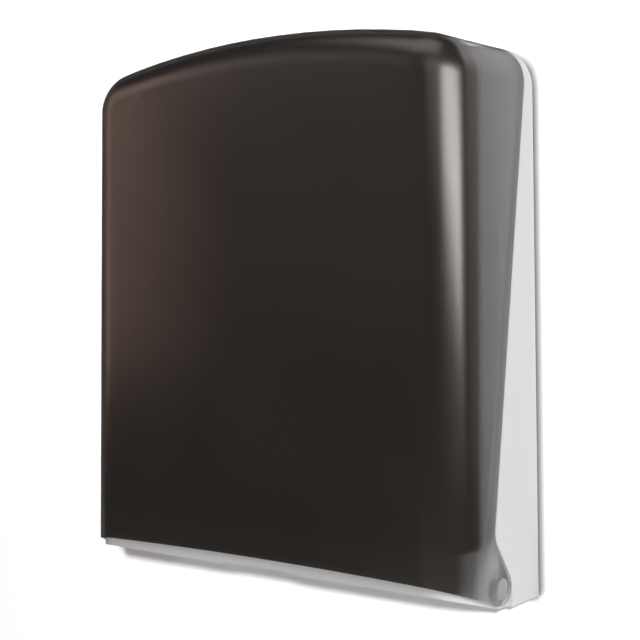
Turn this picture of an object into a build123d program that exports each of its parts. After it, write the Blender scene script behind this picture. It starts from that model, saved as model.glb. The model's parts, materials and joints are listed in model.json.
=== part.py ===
from build123d import *
import os
from math import cos, radians, sin, sqrt, tan

# A wall-mounted dispenser for folded towels. X runs across it, Y runs into the wall and Z runs up.
# The origin is the centre of the four wall screws, on the wall. Lengths are in millimetres.
# "Forward" is a distance from the wall towards the user, so it runs along -Y.
# "Up" is a height above the underside of the housing at the wall.

# Overall form of the closed dispenser
width = 270.0  # across the sides, at the underside
height = 320.2  # from the underside to the crown of the arched top
depth = 91.0  # from the wall to the flat front
side_taper = 4.6  # how much closer to the middle each side is at the top corners
crown_rise = 14.8  # height of the arch of the top
corner_radius = 25.0  # top corners, seen from the front
front_radius = 21.0  # the round between the front and the sides and top
draft_angle = 1.8  # degrees, how much the sides and the top lean in towards the front
mount_height = 160.0  # from the underside up to the centre of the wall screws

# Smoke cover
cover_wall = 2.5
seam_top = 4.6  # from the wall to the cover's rear edge, at the crown
seam_lean = 9.0  # degrees, lean of the cover's rear edge from the upright
ear_radius = 9.2
ear_pad = 1.5  # how much the ear is thickened on its inside
ear_flank = 54.7  # degrees, slope of the ear's upper edge
ear_bend = 14.0  # radius where the ear's upper edge meets the rear edge
lower_slope = 18.7  # degrees, rise of the cover's lower edge towards the front
lower_arch = 2.4  # how much higher the lower edge is at the middle of the front
hinge_forward = 40.5
hinge_up = 11.6

# White housing
seam_gap = 0.7  # between the cover's rear edge and the housing
cover_gap = 1.0  # between the cover and what it closes over, which lets it swing right down
rim_wall = 3.0  # flush walls behind the seam
cheek_wall = 2.4  # recessed walls under the cover
seam_web = 2.5  # the step that joins the flush and recessed walls
cheek_forward = 66.0  # front edge of the recessed side walls
cheek_top_forward = 50.0  # the same at the top corners
cheek_bevel_drop = 48.0  # height over which the cheeks' front edge leans back
top_lip_forward = 16.0  # front edge of the recessed top wall
top_opening_margin = 30.0  # width of the corner that stays beside the top opening
plate_front = 6.0  # front face of the back plate
plate_wall = 2.5
floor_wall = 3.0
floor_knee = 39.0  # where the underside starts to rise
floor_slope = 16.2  # degrees
floor_ledge = 24.0  # width of the side ledges that carry the tray
floor_flange = 20.0  # depth of the rear flange that carries the tray
rib_wall = 2.0
rib_count = 3  # ribs each way, through the screw bosses
runner_width = 3.0
runner_height = 1.2
runner_count = 6
runner_spacing = 32.0
runner_length = 200.0

# Wall screws
screw_columns = 180.0
screw_rows = 200.0
screw_hole_radius = 2.6
screw_boss_radius = 9.0

# Towel tray
tray_gap = 0.6
tray_wall = 2.2
tray_side_margin = 17.0  # from the housing's greatest half width in to the tray's side walls
tray_side_height = 30.0
tray_front_height = 37.0
tray_floor = 2.4
slot_width = 150.0
slot_rear = 36.0
slot_front = 64.0
slot_corner = 12.0
slot_bead_width = 2.5
slot_bead_height = 1.5
notch_width = 52.0
notch_height = 1.0
notch_angle = 30.0  # degrees, slope of its ends
tongue_width = 14.0
tongue_height = 16.0
tongue_wall = 2.0
tongue_root = 3.0  # length over which it joins the tray's wall
tray_screw_offset = 60.0
tray_screw_forward = 13.0
tray_screw_length = 5.0

# Paper guides
guide_margin = 19.0  # from the housing's greatest half width in to the faces that guide the towels
guide_wall = 2.0
guide_foot = 9.0
guide_reach = 50.0
guide_flare = 6.0
guide_low = 45.0
guide_high = 262.0
clip_width = 10.0
clip_wall = 3.0
clip_hook = 1.5
clip_play = 0.2  # around a clip in its slot
clip_gap = 0.2  # between the hook and the back plate
clip_low = 60.0
clip_high = 250.0

# Hinge pins
pin_radius = 3.0
pin_play = 0.05
pin_head_radius = 6.0
pin_head_play = 0.4
pin_head = 1.6
pin_head_sink = 0.2
pin_lift = 0.1  # between the head and the ear
pin_tail = 2.5
hinge_boss_radius = 10.5
hinge_boss_depth = 13.0  # from the housing's greatest half width in to the boss's inner face
dish_play = 0.6
pin_clip_width = 12.0
pin_clip_wall = 1.0

# Key lock
lock_forward = 24.0
lock_seat_drop = 2.3  # from the crown down to the flat seat of the lock
lock_seat_radius = 12.0
lock_pad_radius = 15.0
lock_pad = 3.6
lock_clearance = 1.0  # around the lock's pad in the housing's top lip
barrel_radius = 8.0
barrel_length = 16.0
flange_radius = 11.0
flange_height = 2.0
barrel_play = 0.1
plug_radius = 5.5
plug_play = 0.06
plug_drive = 6.5  # across the flats of the plug's lower end
plug_neck = 0.4  # between the barrel and the cam
plug_head = 1.4
key_slot_length = 7.0
key_slot_width = 1.4
key_slot_depth = 9.0
cam_wall = 2.0
cam_width = 9.0
cam_reach = 15.0
cam_play = 0.05
cam_hub_radius = 6.5
cam_screw_radius = 1.5
cam_screw_head_radius = 4.6
cam_screw_head = 2.2
cam_screw_length = 9.0
nut_flats = 19.0
nut_height = 4.0

# Keeper and its shelf
shelf_wall = 3.0
shelf_half = 28.0
shelf_reach = 33.0
shelf_drop = 6.4  # from the cam's underside down to the shelf
shelf_gusset = 18.0
keeper_wall = 1.5
keeper_near = 9.5  # inner end of the keeper, clear of the barrel
keeper_far = 26.0
keeper_rear = 9.0
keeper_tab_far = 21.0
keeper_gap = 0.8
keeper_screw_forward = 14.0
keeper_screw_near = 14.0
keeper_screw_pitch = 8.0
small_screw_radius = 1.5
small_screw_play = 0.05
small_head_radius = 3.0
small_head = 1.6
small_screw_length = 8.0
small_boss_wall = 1.9  # around the keeper screws' holes
screw_end_gap = 0.8  # between a screw's end and the bottom of its hole

reach_past = 12.0  # how far a cutting form runs past what it cuts

os.makedirs("parts", exist_ok=True)

# Places that follow from the sizes above
underside = -mount_height
crown = underside + height
hinge_z = underside + hinge_up
draft_fall = tan(radians(draft_angle))
seam_fall = tan(radians(seam_lean))
lower_rise = tan(radians(lower_slope))
floor_rise = tan(radians(floor_slope))
shoulder = crown - crown_rise  # where the sides end and the arch begins
taper_fall = side_taper / (shoulder - underside)
arch_half = width / 2 - side_taper
arch_radius = (arch_half**2 + crown_rise**2) / (2 * crown_rise)
front_reach = depth + reach_past
recess = cover_wall + cover_gap
inner_recess = recess + cheek_wall
plate_rear = plate_front - plate_wall
tray_side = width / 2 - tray_side_margin
guide_inner = width / 2 - guide_margin
hinge_boss_inner = width / 2 - hinge_boss_depth
lock_seat = crown - lock_seat_drop
side_plane = Plane(origin=(0, 0, 0), x_dir=(0, -1, 0), z_dir=(-1, 0, 0))


def side_at(forward, up, inset):
    """Distance of a side wall from the middle, at one place."""
    return width / 2 - inset - draft_fall * forward - taper_fall * up


def moulded_form(inset):
    """The whole outer form, or the same form shrunk evenly by inset. It runs past the underside."""
    low = underside - reach_past
    end_half = side_at(0, shoulder - underside, inset)
    low_half = side_at(0, -reach_past, inset)
    radius = arch_radius - inset
    middle = crown - arch_radius
    end_z = middle + sqrt(radius**2 - end_half**2)
    with BuildPart() as form:
        with BuildSketch(Plane.XZ.offset(-reach_past)):
            with BuildLine():
                Polyline((-end_half, end_z), (-low_half, low), (low_half, low), (end_half, end_z))
                ThreePointArc((end_half, end_z), (0, middle + radius), (-end_half, end_z))
            make_face()
            fillet(vertices().sort_by(Axis.Y)[-2:], corner_radius - inset)
        extrude(amount=reach_past + depth - inset)
        around = faces().sort_by(Axis.Y)[1:-1].sort_by(Axis.Z)[1:]
        draft(around, Plane.XZ, draft_angle)
        front_edges = faces().sort_by(Axis.Y)[0].edges().sort_by(Axis.Z)[1:]
        fillet(front_edges, front_radius - inset)
    return form.part


def between(form, near, far):
    """The slice of a form that lies between two distances forward of the wall."""
    with BuildPart() as cut:
        add(form)
        with BuildSketch(Plane.XZ.offset(near)):
            Rectangle(2 * width, 3 * height)
        extrude(amount=far - near, mode=Mode.INTERSECT)
    return cut.part


def ear_points(grow):
    """Where the ear's round begins and ends, its rearmost point and the bend above it."""
    flank, lower = radians(ear_flank), radians(lower_slope)
    radius = ear_radius + grow
    top = (hinge_forward - radius * sin(flank), hinge_z + radius * cos(flank))
    bottom = (hinge_forward + radius * sin(lower), hinge_z - radius * cos(lower))
    rear = (hinge_forward - radius, hinge_z)
    seam = seam_top - grow / cos(radians(seam_lean))
    run = (seam + (crown - top[1]) * seam_fall - top[0]) / (cos(flank) + seam_fall * sin(flank))
    bend = (top[0] + run * cos(flank), top[1] + run * sin(flank))
    return top, rear, bottom, bend, seam


def cover_region(grow):
    """Everything in front of the cover's rear edge and ears, moved back towards the wall by grow."""
    top, rear, bottom, bend, seam = ear_points(grow)
    high = crown + reach_past
    with BuildPart() as region:
        with BuildSketch(side_plane):
            with BuildLine():
                Polyline(
                    bottom,
                    (front_reach, bottom[1] + (front_reach - bottom[0]) * lower_rise),
                    (front_reach, high),
                    (seam - reach_past * seam_fall, high),
                    bend,
                    top,
                )
                ThreePointArc(top, rear, bottom)
            make_face()
            fillet(vertices().sort_by_distance(bend)[0], ear_bend - grow)
        extrude(amount=width, both=True)
    return region.part


def housing_front_region(grow):
    """The region in front of the housing's flush walls. Below the hinge its edge runs straight down."""
    rear = ear_points(grow)[1]
    with BuildPart() as region:
        add(cover_region(grow))
        with BuildSketch(side_plane):
            with BuildLine():
                low = underside - 2 * reach_past
                Polyline(rear, (rear[0], low), (front_reach, low), (front_reach, hinge_z), close=True)
            make_face()
        extrude(amount=width, both=True)
    return region.part


def above_underside(lift):
    """Everything above the kinked underside, or above the same surface lifted by lift."""
    start = underside + lift
    high = crown + reach_past
    with BuildPart() as region:
        with BuildSketch(side_plane):
            with BuildLine():
                Polyline(
                    (-reach_past, start),
                    (floor_knee, start),
                    (front_reach, start + (front_reach - floor_knee) * floor_rise),
                    (front_reach, high),
                    (-reach_past, high),
                    close=True,
                )
            make_face()
        extrude(amount=width, both=True)
    return region.part


outer_form = moulded_form(0)
cover_inside = moulded_form(cover_wall)
rim_inside = moulded_form(rim_wall)
recess_form = moulded_form(recess)
recess_inside = moulded_form(inner_recess)
ear_outer = side_at(hinge_forward, hinge_up, 0)
head_seat = ear_outer - pin_head_sink - pin_head
pad_inner = ear_outer - cover_wall - ear_pad
hinge_point = (-hinge_forward, hinge_z)
lock_point = (0, -lock_forward)
cam_low = lock_seat - barrel_length - plug_neck - cam_wall
shelf_top = cam_low - shelf_drop
clip_x = guide_inner + (guide_wall + guide_foot) / 2
clip_places = [(side * clip_x, underside + up) for side in (1, -1) for up in (clip_low, clip_high)]
keeper_screw_far = keeper_screw_near + keeper_screw_pitch
keeper_screw_places = [(x, -keeper_screw_forward) for x in (keeper_screw_near, keeper_screw_far)]
tray_screw_places = [(side * tray_screw_offset, -tray_screw_forward) for side in (1, -1)]

# Front cover: a thin shell with an ear at each side and a flat seat for the lock
ear_bottom = ear_points(0)[2]
ear_wall = ear_outer - cover_wall / 2 - pad_inner
with BuildPart() as front_cover:
    add(outer_form)
    add(cover_inside, mode=Mode.SUBTRACT)
    add(cover_region(0), mode=Mode.INTERSECT)
    with BuildSketch(Plane.XZ.offset(ear_bottom[0])):
        with BuildLine():
            low = underside - height / 2
            edge = width / 2
            corner = (edge, ear_bottom[1])
            Polyline(corner, (width, ear_bottom[1]), (width, low), (-width, low))
            Polyline((-width, low), (-width, ear_bottom[1]), (-edge, ear_bottom[1]))
            ThreePointArc((-edge, ear_bottom[1]), (0, ear_bottom[1] + lower_arch), corner)
        make_face()
    lower_angle = radians(lower_slope)
    extrude(amount=depth, dir=(0, -cos(lower_angle), sin(lower_angle)), mode=Mode.SUBTRACT)
    for side in (1, -1):
        with BuildSketch(Plane.YZ.offset(side * pad_inner)):
            with Locations(hinge_point):
                Circle(ear_radius)
        extrude(amount=side * ear_wall)
        with BuildSketch(Plane.YZ.offset(side * head_seat)):
            with Locations(hinge_point):
                Circle(pin_head_radius + pin_head_play)
        extrude(amount=side * reach_past, mode=Mode.SUBTRACT)
        with BuildSketch(Plane.YZ.offset(side * (pad_inner - ear_pad))):
            with Locations(hinge_point):
                Circle(pin_radius + pin_play)
        extrude(amount=side * reach_past, mode=Mode.SUBTRACT)
    with BuildSketch(Plane.XY.offset(lock_seat - lock_pad)):
        with Locations(lock_point):
            Circle(lock_pad_radius)
    extrude(amount=lock_pad)
    with BuildSketch(Plane.XY.offset(lock_seat)):
        with Locations(lock_point):
            Circle(lock_seat_radius)
    extrude(amount=reach_past, mode=Mode.SUBTRACT)
    with BuildSketch(Plane.XY.offset(lock_seat)):
        with Locations(lock_point):
            Circle(barrel_radius + barrel_play)
    extrude(amount=-2 * lock_pad, mode=Mode.SUBTRACT)
front_cover.part.label = "front_cover"
export_step(front_cover.part, "parts/front_cover.step")

# Rear housing. First the forms that are cut from its outer form.
with BuildPart() as cover_recess:
    add(outer_form)
    add(recess_form, mode=Mode.SUBTRACT)
    add(housing_front_region(seam_gap), mode=Mode.INTERSECT)
with BuildPart() as housing_hollow:
    add(between(rim_inside, plate_front, front_reach))
    add(housing_front_region(seam_gap + seam_web), mode=Mode.SUBTRACT)
    add(between(recess_inside, plate_front, front_reach))
    add(above_underside(floor_wall), mode=Mode.INTERSECT)
with BuildPart() as back_pocket:
    add(between(rim_inside, -reach_past / 2, plate_rear))
    add(above_underside(floor_wall), mode=Mode.INTERSECT)

# The ribs and screw bosses behind the back plate reach the wall. They stop clear of the guides' clips.
with BuildPart() as back_ribs:
    with BuildSketch(Plane.XZ):
        with GridLocations(0, screw_rows / 2, 1, rib_count):
            Rectangle(width, rib_wall)
        with GridLocations(screw_columns / 2, 0, rib_count, 1):
            Rectangle(rib_wall, 2 * height)
    extrude(amount=plate_front - plate_wall / 2)
    with BuildSketch(Plane.XZ):
        with Locations(*clip_places):
            Rectangle(clip_wall + 4 * clip_hook, clip_width + 2 * clip_hook)
    extrude(amount=plate_rear, mode=Mode.SUBTRACT)
    with BuildSketch(Plane.XZ):
        with GridLocations(screw_columns, screw_rows, 2, 2):
            Circle(screw_boss_radius)
    extrude(amount=plate_front - plate_wall / 2)
    add(rim_inside, mode=Mode.INTERSECT)
    add(above_underside(floor_wall / 2), mode=Mode.INTERSECT)

floor_front = floor_wall + (cheek_forward - floor_knee) * floor_rise
window_half = side_at(cheek_forward, 0, inner_recess) - floor_ledge
opening_half = arch_half - top_opening_margin
with BuildPart() as rear_housing:
    add(between(outer_form, 0, cheek_forward))
    add(above_underside(0), mode=Mode.INTERSECT)
    add(cover_recess.part, mode=Mode.SUBTRACT)
    add(housing_hollow.part, mode=Mode.SUBTRACT)
    add(back_pocket.part, mode=Mode.SUBTRACT)
    add(back_ribs.part)

    # The window in the floor, which the tray closes
    with BuildSketch(Plane.XY.offset(underside - reach_past)):
        with Locations((0, -(floor_flange + front_reach) / 2)):
            Rectangle(2 * window_half, front_reach - floor_flange)
        fillet(vertices().sort_by(Axis.Y)[-2:], floor_ledge / 2)
    extrude(amount=2 * reach_past + floor_front, mode=Mode.SUBTRACT)

    # The top is open in front of a narrow lip, which the lock passes through
    with BuildSketch(Plane.XY.offset(shoulder - reach_past)):
        with Locations((0, -(top_lip_forward + front_reach) / 2)):
            Rectangle(2 * opening_half, front_reach - top_lip_forward)
        fillet(vertices().sort_by(Axis.Y)[-2:], reach_past / 2)
        notch_rear = lock_forward - lock_pad_radius - lock_clearance
        with Locations((0, -(notch_rear + lock_forward) / 2)):
            Rectangle(2 * (lock_pad_radius + lock_clearance), lock_forward - notch_rear)
    extrude(amount=height, mode=Mode.SUBTRACT)

    # The front edge of the side walls leans back near the top
    bevel_low = shoulder - cheek_bevel_drop
    with BuildSketch(side_plane):
        with BuildLine():
            high = crown + reach_past
            Polyline(
                (cheek_forward, bevel_low),
                (front_reach, bevel_low),
                (front_reach, high),
                (cheek_top_forward, high),
                (cheek_top_forward, shoulder),
                close=True,
            )
        make_face()
    extrude(amount=width, both=True, mode=Mode.SUBTRACT)

    # A boss for each hinge pin, dished to clear the cover's ear
    for side in (1, -1):
        with BuildSketch(Plane.YZ.offset(side * hinge_boss_inner)):
            with Locations(hinge_point):
                Circle(hinge_boss_radius)
        extrude(amount=side * (ear_outer - recess - cheek_wall / 2 - hinge_boss_inner))
        with BuildSketch(Plane.YZ.offset(side * (pad_inner - cover_gap))):
            with Locations(hinge_point):
                Circle(ear_radius + dish_play)
        extrude(amount=side * reach_past, mode=Mode.SUBTRACT)
        with BuildSketch(Plane.YZ.offset(side * hinge_boss_inner)):
            with Locations(hinge_point):
                Circle(pin_radius + pin_play)
        extrude(amount=side * reach_past, mode=Mode.SUBTRACT)

    # The latch shelf, with a gusset at each end and bosses for the keeper's screws
    with BuildSketch(Plane.XY.offset(shelf_top)):
        with Locations((0, -(plate_rear + shelf_reach) / 2)):
            Rectangle(2 * shelf_half, shelf_reach - plate_rear)
        fillet(vertices().sort_by(Axis.Y)[:2], shelf_wall)
    extrude(amount=-shelf_wall)
    for side in (1, -1):
        with BuildSketch(Plane.YZ.offset(side * shelf_half)):
            with BuildLine():
                gusset_low = shelf_top - shelf_gusset
                Polyline(
                    (-plate_rear, shelf_top),
                    (-shelf_reach + 2 * shelf_wall, shelf_top - shelf_wall),
                    (-plate_front, gusset_low),
                    (-plate_rear, gusset_low),
                    close=True,
                )
            make_face()
        extrude(amount=-side * rib_wall)
    boss_width = 2 * (small_screw_radius + small_boss_wall)
    with BuildSketch(Plane.XY.offset(shelf_top)):
        with Locations(((keeper_screw_near + keeper_screw_far) / 2, -keeper_screw_forward)):
            Rectangle(keeper_screw_pitch + boss_width, boss_width)
    extrude(amount=-small_screw_length)
    with BuildSketch(Plane.XY.offset(shelf_top)):
        with Locations(*keeper_screw_places):
            Circle(small_screw_radius + small_screw_play)
    extrude(amount=keeper_wall - small_screw_length, mode=Mode.SUBTRACT)

    # Runners for the backs of the towels, slots for the guides' clips and the wall screws' holes
    with BuildSketch(Plane.XZ.offset(plate_front)):
        with GridLocations(runner_spacing, 0, runner_count, 1):
            Rectangle(runner_width, runner_length)
    extrude(amount=runner_height)
    with BuildSketch(Plane.XZ.offset(plate_front)):
        with Locations(*clip_places):
            Rectangle(clip_wall + 2 * clip_play, clip_width + 2 * clip_play)
    extrude(amount=-plate_front, mode=Mode.SUBTRACT)
    with BuildSketch(Plane.XZ.offset(plate_front)):
        with GridLocations(screw_columns, screw_rows, 2, 2):
            Circle(screw_hole_radius)
    extrude(amount=-plate_front, mode=Mode.SUBTRACT)

    # Holes for the screws that hold the tray down on the rear flange
    with BuildSketch(Plane.XY.offset(underside)):
        with Locations(*tray_screw_places):
            Circle(small_screw_radius + small_screw_play)
    extrude(amount=floor_wall, mode=Mode.SUBTRACT)
rear_housing.part.label = "rear_housing"
export_step(rear_housing.part, "parts/rear_housing.step")

# Towel tray. Its floor follows the underside, and its front wall and lip follow the cover.
tray_start = cheek_forward + tray_gap
tray_rear = plate_front + runner_height + tray_gap
tray_base = floor_wall + tray_floor
tray_form = between(moulded_form(cover_wall + tray_gap), tray_start, front_reach)
tray_inside = between(moulded_form(cover_wall + tray_gap + tray_wall), tray_start, front_reach)
tray_run = front_reach - tray_rear
with BuildPart() as tray_wall_ring:
    add(tray_form)
    add(tray_inside, mode=Mode.SUBTRACT)
    add(above_underside(0), mode=Mode.INTERSECT)
with BuildPart() as tray_blank:
    add(tray_form)
    with BuildSketch(Plane.XY.offset(underside)):
        with Locations((0, -(tray_rear + tray_start) / 2)):
            Rectangle(2 * tray_side, tray_start - tray_rear)
    extrude(amount=tray_front_height)
with BuildPart() as tray_side_walls:
    with BuildSketch(Plane.XY.offset(underside)):
        with Locations((0, -(tray_rear + front_reach) / 2)):
            Rectangle(2 * tray_side, tray_run)
            Rectangle(2 * (tray_side - tray_wall), tray_run, mode=Mode.SUBTRACT)
    extrude(amount=tray_side_height)
    add(tray_blank.part, mode=Mode.INTERSECT)
    add(above_underside(floor_wall), mode=Mode.INTERSECT)
slot_middle = (0, -(slot_rear + slot_front) / 2)
slot_run = slot_front - slot_rear
with BuildPart() as slot_bead:
    with BuildSketch(Plane.XY.offset(underside)):
        with Locations(slot_middle):
            bead = 2 * slot_bead_width
            RectangleRounded(slot_width + bead, slot_run + bead, slot_corner + slot_bead_width)
    extrude(amount=tray_front_height)
    add(above_underside(tray_base + slot_bead_height), mode=Mode.SUBTRACT)
    add(above_underside(tray_base - slot_bead_height / 2), mode=Mode.INTERSECT)
with BuildPart() as towel_tray:
    add(tray_blank.part)
    add(above_underside(tray_base), mode=Mode.SUBTRACT)
    add(above_underside(floor_wall), mode=Mode.INTERSECT)
    add(tray_wall_ring.part)
    add(tray_side_walls.part)
    add(slot_bead.part)
    with BuildSketch(Plane.XY.offset(underside)):
        with Locations(slot_middle):
            RectangleRounded(slot_width, slot_run, slot_corner)
    extrude(amount=tray_front_height, mode=Mode.SUBTRACT)
    with BuildSketch(Plane.XY.offset(underside + tray_front_height)):
        Rectangle(2 * width, 2 * front_reach)
    extrude(amount=height, mode=Mode.SUBTRACT)

    # A shallow finger notch in the lip's lower edge
    lip_forward = depth - cover_wall - tray_gap
    lip_low = underside + (lip_forward - floor_knee) * floor_rise
    with BuildSketch(Plane.XZ.offset(lip_forward - 2 * tray_wall)):
        with Locations((0, lip_low)):
            Trapezoid(notch_width, 2 * notch_height, notch_angle)
    extrude(amount=reach_past, mode=Mode.SUBTRACT)

    # Holes for the screws at the rear
    with BuildSketch(Plane.XY.offset(underside)):
        with Locations(*tray_screw_places):
            Circle(small_screw_radius + small_screw_play)
    extrude(amount=2 * tray_base, mode=Mode.SUBTRACT)

    # A tongue at each side, which lies inside the housing's side wall
    tongue_face = side_at(tray_start, tray_side_height, inner_recess + cover_gap)
    tongue_z = underside + tray_side_height - tongue_height / 2
    for side in (1, -1):
        with BuildSketch(Plane.YZ.offset(side * (tongue_face - tongue_wall))):
            with Locations((-tray_start - (tongue_root - tongue_width) / 2, tongue_z)):
                Rectangle(tongue_width + tongue_root, tongue_height)
        extrude(amount=side * tongue_wall)
        with BuildSketch(Plane.YZ.offset(side * (tongue_face - tongue_wall))):
            with Locations((-tray_start - tongue_root / 2, tongue_z)):
                Rectangle(tongue_root, tongue_height)
        extrude(amount=side * 2 * tongue_wall)
towel_tray.part.label = "towel_tray"
export_step(towel_tray.part, "parts/towel_tray.step")

# Paper guides: an angled strip whose foot lies on the back plate and whose clips pass through it
guide_middle = guide_inner + guide_wall / 2
foot_forward = plate_front + guide_wall / 2
with BuildPart() as right_paper_guide:
    with BuildSketch(Plane.XY.offset(underside + guide_low)):
        with BuildLine():
            FilletPolyline(
                (guide_middle + guide_foot, -foot_forward),
                (guide_middle, -foot_forward),
                (guide_middle, -plate_front - guide_reach + guide_flare),
                (guide_middle + guide_flare / 2, -plate_front - guide_reach),
                radius=guide_wall,
            )
        trace(line_width=guide_wall)
    extrude(amount=guide_high - guide_low)
    for x, z in clip_places:
        if x > 0:
            with BuildSketch(Plane.XZ.offset(foot_forward)):
                with Locations((x, z)):
                    Rectangle(clip_wall, clip_width)
            extrude(amount=-(foot_forward - plate_rear + clip_hook))
            with BuildSketch(Plane.XZ.offset(plate_rear - clip_gap)):
                with Locations((x + clip_hook / 2, z)):
                    Rectangle(clip_wall + clip_hook, clip_width)
            extrude(amount=-(clip_hook - clip_gap))
right_paper_guide.part.label = "right_paper_guide"
export_step(right_paper_guide.part, "parts/right_paper_guide.step")
with BuildPart() as left_paper_guide:
    mirror(right_paper_guide.part, about=Plane.YZ)
left_paper_guide.part.label = "left_paper_guide"
export_step(left_paper_guide.part, "parts/left_paper_guide.step")

# Hinge pins: a flat head in the ear and a shank that runs through the ear and the boss to its clip
hinge_axis = Axis((0, -hinge_forward, hinge_z), (1, 0, 0))
pin_end = hinge_boss_inner - pin_tail
with BuildPart() as right_hinge_pin:
    with BuildSketch(Plane.XZ.offset(hinge_forward)):
        with BuildLine():
            Polyline(
                (pin_end, hinge_z),
                (pin_end, hinge_z + pin_radius),
                (head_seat + pin_lift, hinge_z + pin_radius),
                (head_seat + pin_lift, hinge_z + pin_head_radius),
                (head_seat + pin_lift + pin_head, hinge_z + pin_head_radius),
                (head_seat + pin_lift + pin_head, hinge_z),
                close=True,
            )
        make_face()
    revolve(axis=hinge_axis)
right_hinge_pin.part.label = "right_hinge_pin"
export_step(right_hinge_pin.part, "parts/right_hinge_pin.step")
with BuildPart() as left_hinge_pin:
    mirror(right_hinge_pin.part, about=Plane.YZ)
left_hinge_pin.part.label = "left_hinge_pin"
export_step(left_hinge_pin.part, "parts/left_hinge_pin.step")
with BuildPart() as right_pin_clip:
    with BuildSketch(Plane.YZ.offset(hinge_boss_inner)):
        with Locations(hinge_point):
            Rectangle(pin_clip_width, pin_clip_width)
            Circle(pin_radius + pin_play, mode=Mode.SUBTRACT)
    extrude(amount=-pin_clip_wall)
right_pin_clip.part.label = "right_pin_clip"
export_step(right_pin_clip.part, "parts/right_pin_clip.step")
with BuildPart() as left_pin_clip:
    mirror(right_pin_clip.part, about=Plane.YZ)
left_pin_clip.part.label = "left_pin_clip"
export_step(left_pin_clip.part, "parts/left_pin_clip.step")

# Key lock: a barrel through the cover's top, with a plug that turns the cam below it
plug_head_radius = (barrel_radius + plug_radius) / 2
plug_head_floor = lock_seat + flange_height - plug_head
barrel_low = lock_seat - barrel_length
with BuildPart() as lock_barrel:
    with BuildSketch(Plane.XY.offset(barrel_low)):
        with Locations(lock_point):
            Circle(barrel_radius)
    extrude(amount=barrel_length)
    with BuildSketch(Plane.XY.offset(lock_seat)):
        with Locations(lock_point):
            Circle(flange_radius)
    extrude(amount=flange_height)
    with BuildSketch(Plane.XY.offset(barrel_low)):
        with Locations(lock_point):
            Circle(plug_radius + plug_play)
    extrude(amount=barrel_length + flange_height, mode=Mode.SUBTRACT)
    with BuildSketch(Plane.XY.offset(plug_head_floor)):
        with Locations(lock_point):
            Circle(plug_head_radius + plug_play)
    extrude(amount=flange_height, mode=Mode.SUBTRACT)
lock_barrel.part.label = "lock_barrel"
export_step(lock_barrel.part, "parts/lock_barrel.step")
with BuildPart() as lock_plug:
    with BuildSketch(Plane.XY.offset(barrel_low)):
        with Locations(lock_point):
            Circle(plug_radius)
    extrude(amount=barrel_length + flange_height - plug_head + plug_play)
    with BuildSketch(Plane.XY.offset(plug_head_floor + plug_play)):
        with Locations(lock_point):
            Circle(plug_head_radius)
    extrude(amount=plug_head - plug_play)
    with BuildSketch(Plane.XY.offset(barrel_low)):
        with Locations(lock_point):
            Rectangle(plug_drive, plug_drive)
    extrude(amount=cam_low + plug_play - barrel_low)
    with BuildSketch(Plane.XY.offset(lock_seat + flange_height)):
        with Locations(lock_point):
            Rectangle(key_slot_width, key_slot_length)
    extrude(amount=-key_slot_depth, mode=Mode.SUBTRACT)
    with BuildSketch(Plane.XY.offset(cam_low)):
        with Locations(lock_point):
            Circle(cam_screw_radius + small_screw_play)
    extrude(amount=cam_screw_length, mode=Mode.SUBTRACT)
lock_plug.part.label = "lock_plug"
export_step(lock_plug.part, "parts/lock_plug.step")

# The cam points at the wall while the cover is unlocked
with BuildPart() as lock_cam:
    with BuildSketch(Plane.XY.offset(cam_low)):
        with Locations(lock_point):
            Circle(cam_hub_radius)
        with Locations((0, -lock_forward + cam_reach - cam_width / 2)):
            Circle(cam_width / 2)
        make_hull()
        with Locations(lock_point):
            cam_hole = plug_drive + 2 * cam_play
            Rectangle(cam_hole, cam_hole, mode=Mode.SUBTRACT)
    extrude(amount=cam_wall)
lock_cam.part.label = "lock_cam"
export_step(lock_cam.part, "parts/lock_cam.step")
with BuildPart() as cam_screw:
    with BuildSketch(Plane.XY.offset(cam_low)):
        with Locations(lock_point):
            Circle(cam_screw_head_radius)
    extrude(amount=-cam_screw_head)
    with BuildSketch(Plane.XY.offset(cam_low)):
        with Locations(lock_point):
            Circle(cam_screw_radius)
    extrude(amount=cam_screw_length - screw_end_gap)
cam_screw.part.label = "cam_screw"
export_step(cam_screw.part, "parts/cam_screw.step")
with BuildPart() as lock_nut:
    with BuildSketch(Plane.XY.offset(lock_seat - lock_pad)):
        with Locations(lock_point):
            RegularPolygon(nut_flats / 2, 6, major_radius=False)
            Circle(barrel_radius + barrel_play, mode=Mode.SUBTRACT)
    extrude(amount=-nut_height)
lock_nut.part.label = "lock_nut"
export_step(lock_nut.part, "parts/lock_nut.step")

# Keeper: a bent strip whose tab stands in front of the turned cam
tab_rear = lock_forward + cam_width / 2 + keeper_gap
tab_front = tab_rear + keeper_wall
tab_top = cam_low + cam_wall + keeper_gap
with BuildPart() as latch_keeper:
    with BuildSketch(Plane.YZ.offset(keeper_near)):
        with BuildLine():
            Polyline(
                (-keeper_rear, shelf_top),
                (-tab_front, shelf_top),
                (-tab_front, tab_top),
                (-tab_rear, tab_top),
                (-tab_rear, shelf_top + keeper_wall),
                (-keeper_rear, shelf_top + keeper_wall),
                close=True,
            )
        make_face()
        fillet(vertices().sort_by_distance((-tab_front, shelf_top))[0], keeper_wall)
        fillet(vertices().sort_by_distance((-tab_rear, shelf_top + keeper_wall))[0], keeper_wall / 2)
    extrude(amount=keeper_far - keeper_near)
    with BuildSketch(Plane.XZ.offset(tab_rear)):
        with Locations(((keeper_tab_far + keeper_far) / 2, tab_top)):
            Rectangle(keeper_far - keeper_tab_far, 2 * (tab_top - shelf_top - 2 * keeper_wall))
    extrude(amount=reach_past, both=True, mode=Mode.SUBTRACT)
    with BuildSketch(Plane.XY.offset(shelf_top)):
        with Locations(*keeper_screw_places):
            Circle(small_screw_radius + small_screw_play)
    extrude(amount=keeper_wall, mode=Mode.SUBTRACT)
latch_keeper.part.label = "latch_keeper"
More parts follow.
